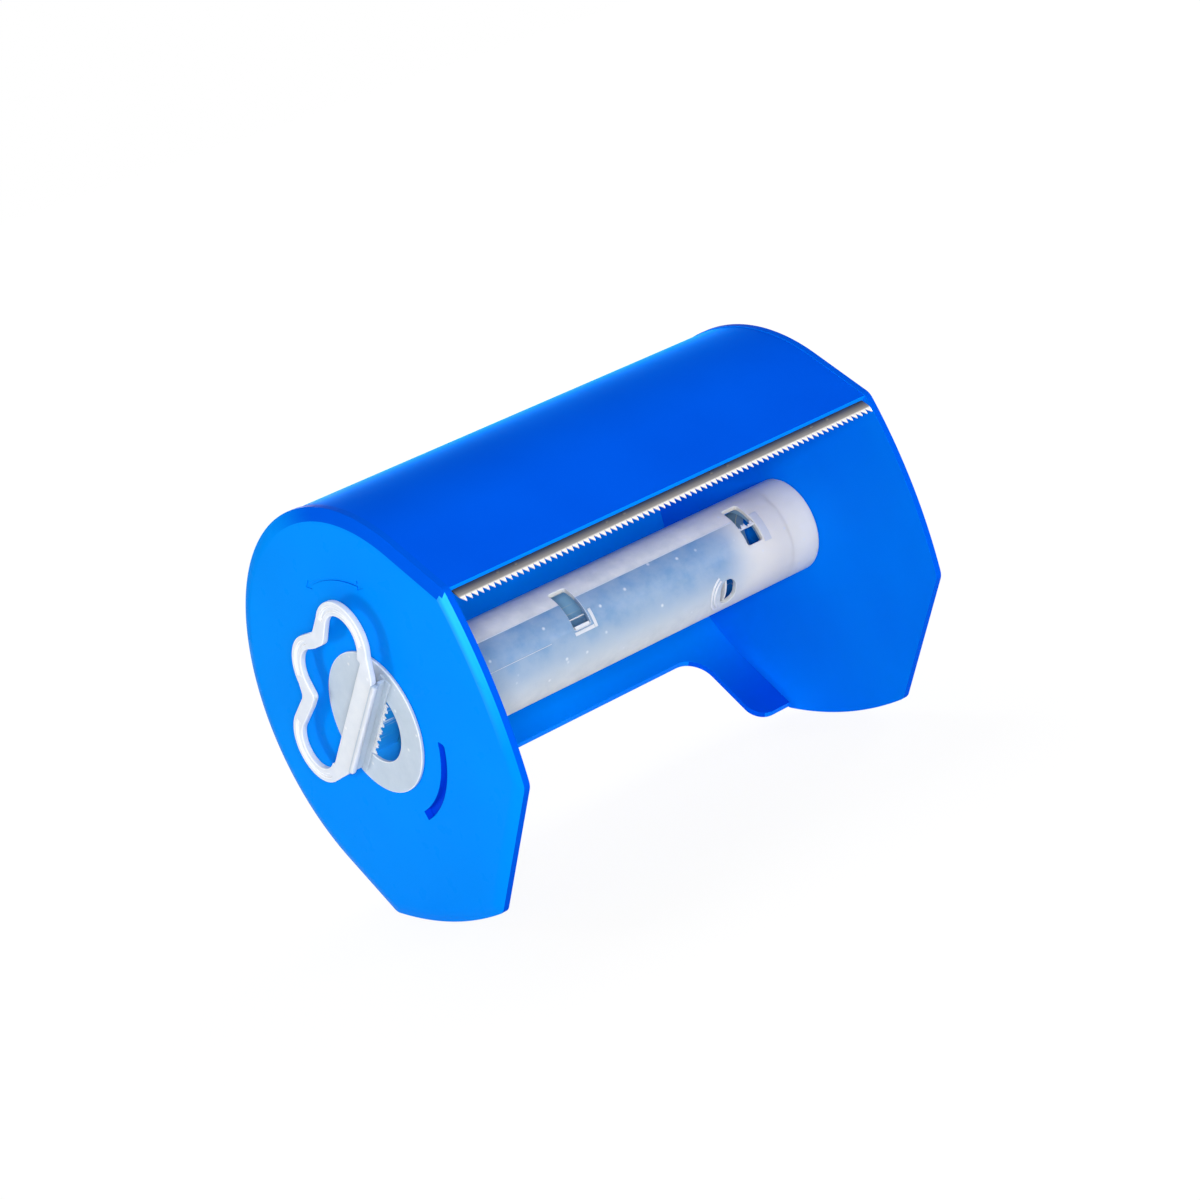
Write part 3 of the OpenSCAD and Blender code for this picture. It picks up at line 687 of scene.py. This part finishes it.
# Moulding marks of the tube: parting lines, raised lips at the windows and a rib in the
# bore, then torn flash across the far window and a ramp beside the eye. Natural
# polypropylene, all of it part of the tube's own moulding.
MARKS = ((-74, -17.4, 14.4, 14.64, SEAM - 0.7, 1.4), (-11.1, 49.4, 14.4, 14.64, SEAM - 0.7, 1.4),
         (-74, -26, 14.3, 14.58, 223, 0.8), (-17.6, -10.6, 14.3, 14.8, 223.5, 4),
         (-10.4, -9.4, 14.3, 14.7, 205, 22.5), (55.7, 58.3, 14.3, 14.66, 186, 38),
         (-16.6, -11.3, 12.6, 14.2, 217.5, 5), (-17.0, -11.3, 12.4, 13.3, 207, 1.6))
RIB_X, RIB_END, RIB_IN, RIB_OUT = 38.9, 39.5, 11.4, 13.3
FLASH_X, FLASH_END, FLASH_WAY, FLASH_R = 49.3, 55.6, 200, 13.9
FILM_T = 0.4
RODS = ((6.6, 0.35), (5.4, 0.3))
ROD_FROM, ROD_SPAN = 118.0, 112.0


def join(bm, other):
    """Adds a second shape to the first and drops it."""
    part = bpy.data.meshes.new("shape")
    other.to_mesh(part)
    other.free()
    bm.from_mesh(part)
    bpy.data.meshes.remove(part)


def torn_film(name, x0, x1, matrix):
    """A thin film with a ragged edge, drawn along X and laid in place by a matrix."""
    bm = bmesh.new()
    bm.edges.new([bm.verts.new((x, 0, 0)) for x in (x0, x1)])
    bmesh.ops.subdivide_edges(bm, edges=bm.edges[:], cuts=int(4 * (x1 - x0)))
    new = bmesh.ops.extrude_edge_only(bm, edges=bm.edges[:])["geom"]
    for v in [g for g in new if isinstance(g, bmesh.types.BMVert)]:
        x = v.co.x
        v.co.y = 0.9 + 0.5 * math.sin(x * 2.1) + 0.35 * math.sin(x * 5.3 + 1) + 0.25 * math.sin(x * 11.7)
    pull(bm, bm.faces[:], (0, 0, FILM_T))
    film = mesh_piece(name, bm, matrix)
    film.data.materials.append(film_white_and_edge_highlight)
    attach(film, "spindle")


bm = bmesh.new()
for x0, x1, r0, r1, from_deg, span in MARKS:
    join(bm, ring_sector(x0, x1, r0, r1, from_deg, span, max(2, int(span / 2))))
lathe(bm, [(RIB_X, RIB_IN), (RIB_X, RIB_OUT), (RIB_END, RIB_OUT), (RIB_END, RIB_IN)])
marks = mesh_piece("tube_marks", bm)
round_off(marks, 0.08, 40, 2)
marks.data.materials.append(milky("natural_pp_marks", "#EAEDF0", "#DFE4E9", 0.42))
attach(marks, "spindle")

flash_at = Matrix.Rotation(math.radians(FLASH_WAY - 90), 4, "X") @ Matrix.Translation((0, 0, FLASH_R))
torn_film("torn_flash", FLASH_X, FLASH_END, HOUSING @ flash_at)

bm = bmesh.new()
for reach, thick in RODS:
    rod = bmesh.new()
    bmesh.ops.create_circle(rod, cap_ends=True, radius=thick, segments=8,
                            matrix=Matrix.Translation((reach, 0, 0)) @ Matrix.Rotation(math.pi / 2, 4, "X"))
    bmesh.ops.spin(rod, geom=rod.verts[:] + rod.edges[:] + rod.faces[:], cent=(0, 0, 0), axis=(0, 0, 1),
                   angle=math.radians(ROD_SPAN), steps=24, use_duplicate=False)
    bmesh.ops.rotate(rod, cent=(0, 0, 0), matrix=Matrix.Rotation(math.radians(ROD_FROM), 3, "Z"), verts=rod.verts[:])
    for v in rod.verts:
        turn = v.co.y / TUBE_R
        v.co.yz = Vector((math.sin(turn), math.cos(turn))) * (TUBE_R + v.co.z)
    join(bm, rod)
ramp = mesh_piece("eye_ramp", bm, EYE_AT)
ramp.data.shade_smooth()
ramp.data.materials.append(film_white_and_edge_highlight)
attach(ramp, "spindle")

# Lugs: two short teeth that stand on the tube behind the near plate and lock it when
# it is turned. Natural polypropylene, moulded on the tube.
LUG_X = -75.35
LUG_T = 2.4
LUG_IN, LUG_OUT, LUG_HALF = 14.2, 17.6, 10.0
bm = bmesh.new()
for at in LUG_WAYS:
    join(bm, ring_sector(LUG_X, LUG_X + LUG_T, LUG_IN, LUG_OUT, at - LUG_HALF, 2 * LUG_HALF, 6))
lugs = mesh_piece("spindle_lugs", bm)
round_off(lugs, 0.3, 40)
lugs.data.materials.append(milky("natural_pp_lugs", "#D6DBE0", "#CBD2D9", 0.42))
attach(lugs, "spindle")

# Lock cap: the flange on the near plate, with a hub in the tube, a half-round hole and
# a cross bar that carries the ring's hinge, with a torn film along it. Natural
# polypropylene, moulded; the hub is pressed into the tube.
CAP = HOUSING @ Matrix.Rotation(math.radians(7), 4, "X")
FLANGE_X = -79.85
FLANGE_R = 21.0
HUB_END = -66.85
HUB_R = 13.1
HOLE_R = 11.8
HINGE_X = -83.85
BAR_T = 2.2
WEB_HALF, WEB_DEEP = 12.4, 9.0
BED_HALF = 19.0
STALK_T = 0.5
BEAD_R = 1.2
BAR_FILM_HALF = 10.5


def block(bm, lo, hi):
    """Box between two corners in mm, with its place in the mesh."""
    lo, hi = Vector(lo), Vector(hi)
    place = Matrix.Translation((lo + hi) / 2) @ Matrix.Diagonal((*(hi - lo), 1))
    bmesh.ops.create_cube(bm, size=1, matrix=place)


bm = bmesh.new()
lathe(bm, [(FLANGE_X, 0.0), (FLANGE_X, FLANGE_R), (TUBE_NEAR, FLANGE_R), (TUBE_NEAR, HUB_R), (HUB_END, HUB_R),
           (HUB_END, HOLE_R), (TUBE_NEAR, HOLE_R), (TUBE_NEAR, 0.0)])
cap = mesh_piece("cap_flange", bm, CAP)
bm = ring_sector(FLANGE_X - 2, TUBE_NEAR + 2, 0.001, HOLE_R, 180, 180, 48)
bmesh.ops.remove_doubles(bm, verts=bm.verts[:], dist=0.01)
cut(cap, mesh_piece("half_hole_cutter", bm, CAP))
# Painted highlight: the cap's rounded edges take the whiter edge colour.
round_off(cap, 0.25, 40, edge=1)
cap_milk = milky("natural_pp_cap", "#C6D4E2", "#BACADA", 0.42)
cap.data.materials.append(cap_milk)
cap.data.materials.append(film_white_and_edge_highlight)
# Painted shade: the hub's bore is painted blue for the blue housing seen through the hole.
hub_painted_blue_shade = milky("natural_pp_hub_painted_blue_shade", "#24A4F0", "#1C94E4", 0.4, 0.05, 0.1, streaks="#D8ECFA")
cap.data.materials.append(hub_painted_blue_shade)
for face in cap.data.polygons:
    at = CAP.inverted() @ face.center
    if at.yz.length < HOLE_R + 0.4 and at.x > TUBE_NEAR + 0.1:
        face.material_index = 2
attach(cap, "spindle")
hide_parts("lock_cap")

bm = bmesh.new()
block(bm, (FLANGE_X, -WEB_HALF, -BAR_T), (FLANGE_X + WEB_DEEP, WEB_HALF, BAR_T))
block(bm, (FLANGE_X - 0.6, -BED_HALF, -BAR_T), (FLANGE_X + 0.4, BED_HALF, BAR_T))
block(bm, (HINGE_X, -BED_HALF, -STALK_T), (FLANGE_X - 0.3, BED_HALF, STALK_T))
bmesh.ops.create_cone(bm, cap_ends=True, segments=32, radius1=BEAD_R, radius2=BEAD_R, depth=2 * BED_HALF,
                      matrix=Matrix.Translation((HINGE_X, 0, 0)) @ Matrix.Rotation(math.pi / 2, 4, "X"))
web = mesh_piece("cap_crossbar", bm, CAP)
round_off(web, 0.2, 40, 2)
web.data.materials.append(cap_milk)
# Painted shade: the web's faces inside the hole take the hub's painted blue.
web.data.materials.append(hub_painted_blue_shade)
for face in web.data.polygons:
    if face.center.x > (FLANGE_X + 1) * MM:
        face.material_index = 1
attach(web, "spindle")

on_bar = Matrix(((0, 0, -1, FLANGE_X + 0.2), (1, 0, 0, 0), (0, -1, 0, 0.1 - BAR_T), (0, 0, 0, 1)))
torn_film("bar_flash", -BAR_FILM_HALF, BAR_FILM_HALF, CAP @ on_bar)

# Pull ring: a three-lobed finger ring with a grooved band, hinged on the cap's bar and
# folded up against the plate. Natural polypropylene, moulded 1.8 mm thick and a little
# warped, so that its two sides aren't quite alike.
RING_BACK = HINGE_X + 0.6
RING_T = 1.8
RING_FRONT = RING_BACK - RING_T
BAR_UP = 6.0
BAR_HALF = 20.0
CLIP_HALF, CLIP_LOW = 18.9, 1.4
LOBE_R, LOBE_IN, CROWN_R, CROWN_IN = 11.4, 7.2, 12.0, 7.8
LOW_LOBE, HIGH_LOBE, CROWN = (22.4, 14.0), (-22.4, 14.9), (-1.8, 20.3)
LOW_WAIST, HIGH_WAIST = (11.3, 24.0), (-14.2, 26.2)
LOW_WAIST_IN, HIGH_WAIST_IN = ((12.0, 19.7), (7.2, 19.5)), ((-10.0, 23.6), (-14.4, 21.0))
STEP_R, WAIST_R = 0.35, 1.1
GROOVES = ((LOW_LOBE, LOBE_R, -55, 150), (HIGH_LOBE, LOBE_R, 85, 150), (CROWN, CROWN_R, 45, 85))
GROOVE_DEEP, GROOVE_IN, GROOVE_OUT = 0.6, 2.75, 1.55


def on_circle(centre, radius, degrees):
    """Point on a circle across the spindle, from its angle."""
    turn = math.radians(degrees)
    return centre[0] + radius * math.cos(turn), centre[1] + radius * math.sin(turn)


bm = bmesh.new()
start = bm.verts.new((RING_BACK, BAR_HALF, 0))
v = to(bm, start, *on_circle(LOW_LOBE, LOBE_R, -70))
v = arc(bm, v, LOW_LOBE, 168, 48)
v = to(bm, v, *LOW_WAIST)
v = to(bm, v, *on_circle(CROWN, CROWN_R, 32))
v = arc(bm, v, CROWN, 93, 30)
v = to(bm, v, *HIGH_WAIST)
v = to(bm, v, *on_circle(HIGH_LOBE, LOBE_R, 82))
v = arc(bm, v, HIGH_LOBE, 168, 48)
v = to(bm, v, -BAR_HALF, 0)
bm.edges.new((v, start))
start = bm.verts.new((RING_BACK, LOW_LOBE[0], BAR_UP))
v = to(bm, start, *on_circle(LOW_LOBE, LOBE_IN, -90))
v = arc(bm, v, LOW_LOBE, 186, 40)
for point in LOW_WAIST_IN:
    v = to(bm, v, *point)
v = to(bm, v, *on_circle(CROWN, CROWN_IN, 25))
v = arc(bm, v, CROWN, 112, 28)
for point in HIGH_WAIST_IN:
    v = to(bm, v, *point)
v = to(bm, v, *on_circle(HIGH_LOBE, LOBE_IN, 86))
v = arc(bm, v, HIGH_LOBE, 184, 40)
v = to(bm, v, HIGH_LOBE[0], BAR_UP)
bm.edges.new((v, start))
bmesh.ops.triangle_fill(bm, use_beauty=True, use_dissolve=True, edges=bm.edges[:])
pull(bm, bm.faces[:], (-RING_T, 0, 0))
for at_step, radius in ((True, STEP_R), (False, WAIST_R)):
    posts = [e for e in bm.edges if run_x(e) > 1 and e.calc_face_angle(0) > 0.3]
    soften(bm, [e for e in posts if (abs(abs(e.verts[0].co.y) - LOW_LOBE[0]) < 1) == at_step], radius, 5)
ring = mesh_piece("ring_band", bm, CAP)
cutters = []
for centre, r, from_deg, span in GROOVES:
    bm = ring_sector(RING_FRONT - 1, RING_FRONT + GROOVE_DEEP, r - GROOVE_IN, r - GROOVE_OUT, from_deg, span, 48)
    cutters.append(mesh_piece("groove_cutter", bm, CAP @ Matrix.Translation((0, *centre))))
cut(ring, *cutters)
# Painted highlight: the ring's rounded edges take the whiter edge colour.
round_off(ring, 0.3, 40, edge=1)
ring_milk = milky("natural_pp_ring", "#DFE4EA", "#D5DCE5", 0.42, 0.1)
ring.data.materials.append(ring_milk)
ring.data.materials.append(film_white_and_edge_highlight)
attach(ring, "ring")
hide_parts("pull_ring")
bm = bmesh.new()
block(bm, (RING_FRONT + 0.05, -CLIP_HALF, -CLIP_LOW), (RING_BACK - 0.1, CLIP_HALF, BAR_UP - 0.4))
bar = mesh_piece("ring_bar", bm, CAP)
round_off(bar, 0.6, 40)
bar.data.materials.append(ring_milk)
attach(bar, "ring")

# Floor, light and camera: a plain white sweep in a white room, two low soft lamps before
# the mouth, a strip lamp on each side, one soft lamp above and one behind, and a long
# lens at the photograph's angle.
FLOOR_HALF = 6.0
FLOOR_GAP = 0.0002
LAMPS = (("front_softbox", (-0.65, -1.0, 0.2), 0.24, 11.5), ("right_softbox", (0.6, -1.0, 0.2), 0.4, 4.5),
         ("left_strip", (-1.0, 0.37, 0.08), 0.22, 3.0), ("right_strip", (1.1, 0.2, 0.3), 0.4, 6.0),
         ("top_softbox", (0.0, 0.5, 1.1), 0.7, 4.5), ("rear_softbox", (0.3, 1.15, 0.32), 0.5, 5.0))
CAMERA_AT = Vector((-524.227, -795.685, 190.671))
CAMERA_RIGHT = Vector((0.7573574, -0.57508339, -0.30933615))
CAMERA_UP = Vector((0.36348848, -0.02226486, 0.9313326))
SENSOR_W, LENS = 36.0, 101.226


def seen(tree):
    """One where the lens sees a spot, straight or by gloss or through milk, else nought."""
    ray = add(tree, "LightPath").outputs
    direct = work_out(tree, "MAXIMUM", ray["Is Camera Ray"], ray["Is Glossy Ray"])
    return work_out(tree, "MAXIMUM", direct, ray["Is Transmission Ray"])


bm = bmesh.new()
floor_at = Matrix.Translation((0, 0, cad_box[0][2] - FLOOR_GAP))
bmesh.ops.create_grid(bm, x_segments=1, y_segments=1, size=FLOOR_HALF, matrix=floor_at)
ground = mesh_piece("floor", bm, Matrix.Identity(4))
mat, tree, shader, place = new_material("white_sweep")
shader.inputs["Base Color"].default_value = (0.9, 0.9, 0.9, 1)
shader.inputs["Roughness"].default_value = 0.9
shader.inputs["Specular IOR Level"].default_value = 0.0
away = add(tree, "VectorMath", links={0: place}, operation="LENGTH").outputs["Value"]
share = work_out(tree, "MULTIPLY", seen(tree), spread(tree, away, 0.15, 0.45, 0.9, 1.0, smooth=True))
glow = add(tree, "Emission", {"Color": (1, 1, 1, 1), "Strength": 1.03}).outputs["Emission"]
both = add(tree, "MixShader", links={0: share, 1: shader.outputs["BSDF"], 2: glow}).outputs["Shader"]
output = [n for n in tree.nodes if n.type == "OUTPUT_MATERIAL"][0]
tree.links.new(both, output.inputs["Surface"])
ground.data.materials.append(mat)

world = bpy.data.worlds.new("white_room")
world.use_nodes = True
bpy.context.scene.world = world
tree = world.node_tree
tree.nodes.clear()
room = add(tree, "Background", {"Color": (1, 1, 1, 1), "Strength": 0.22}).outputs["Background"]
paper = add(tree, "Background", {"Color": (1, 1, 1, 1), "Strength": 1.0}).outputs["Background"]
both = add(tree, "MixShader", links={0: seen(tree), 1: room, 2: paper}).outputs["Shader"]
add(tree, "OutputWorld", links={"Surface": both})

for name, at, size, power in LAMPS:
    lamp = bpy.data.lights.new(name, "AREA")
    lamp.size, lamp.energy = size, power
    obj = bpy.data.objects.new(name, lamp)
    obj.matrix_world = Matrix.Translation(at) @ (-Vector(at)).to_track_quat("-Z", "Y").to_matrix().to_4x4()
    bpy.context.scene.collection.objects.link(obj)

camera = bpy.data.cameras.new("camera")
camera.sensor_fit, camera.sensor_width, camera.lens = "HORIZONTAL", SENSOR_W, LENS
camera.clip_start, camera.clip_end = 0.05, 50
obj = bpy.data.objects.new("camera", camera)
turned = Matrix((CAMERA_RIGHT, CAMERA_UP, CAMERA_RIGHT.cross(CAMERA_UP))).transposed().to_4x4()
obj.matrix_world = Matrix.Translation(CAMERA_AT * MM) @ turned
bpy.context.scene.collection.objects.link(obj)
bpy.context.scene.camera = obj
bpy.context.scene.view_settings.view_transform = "Standard"
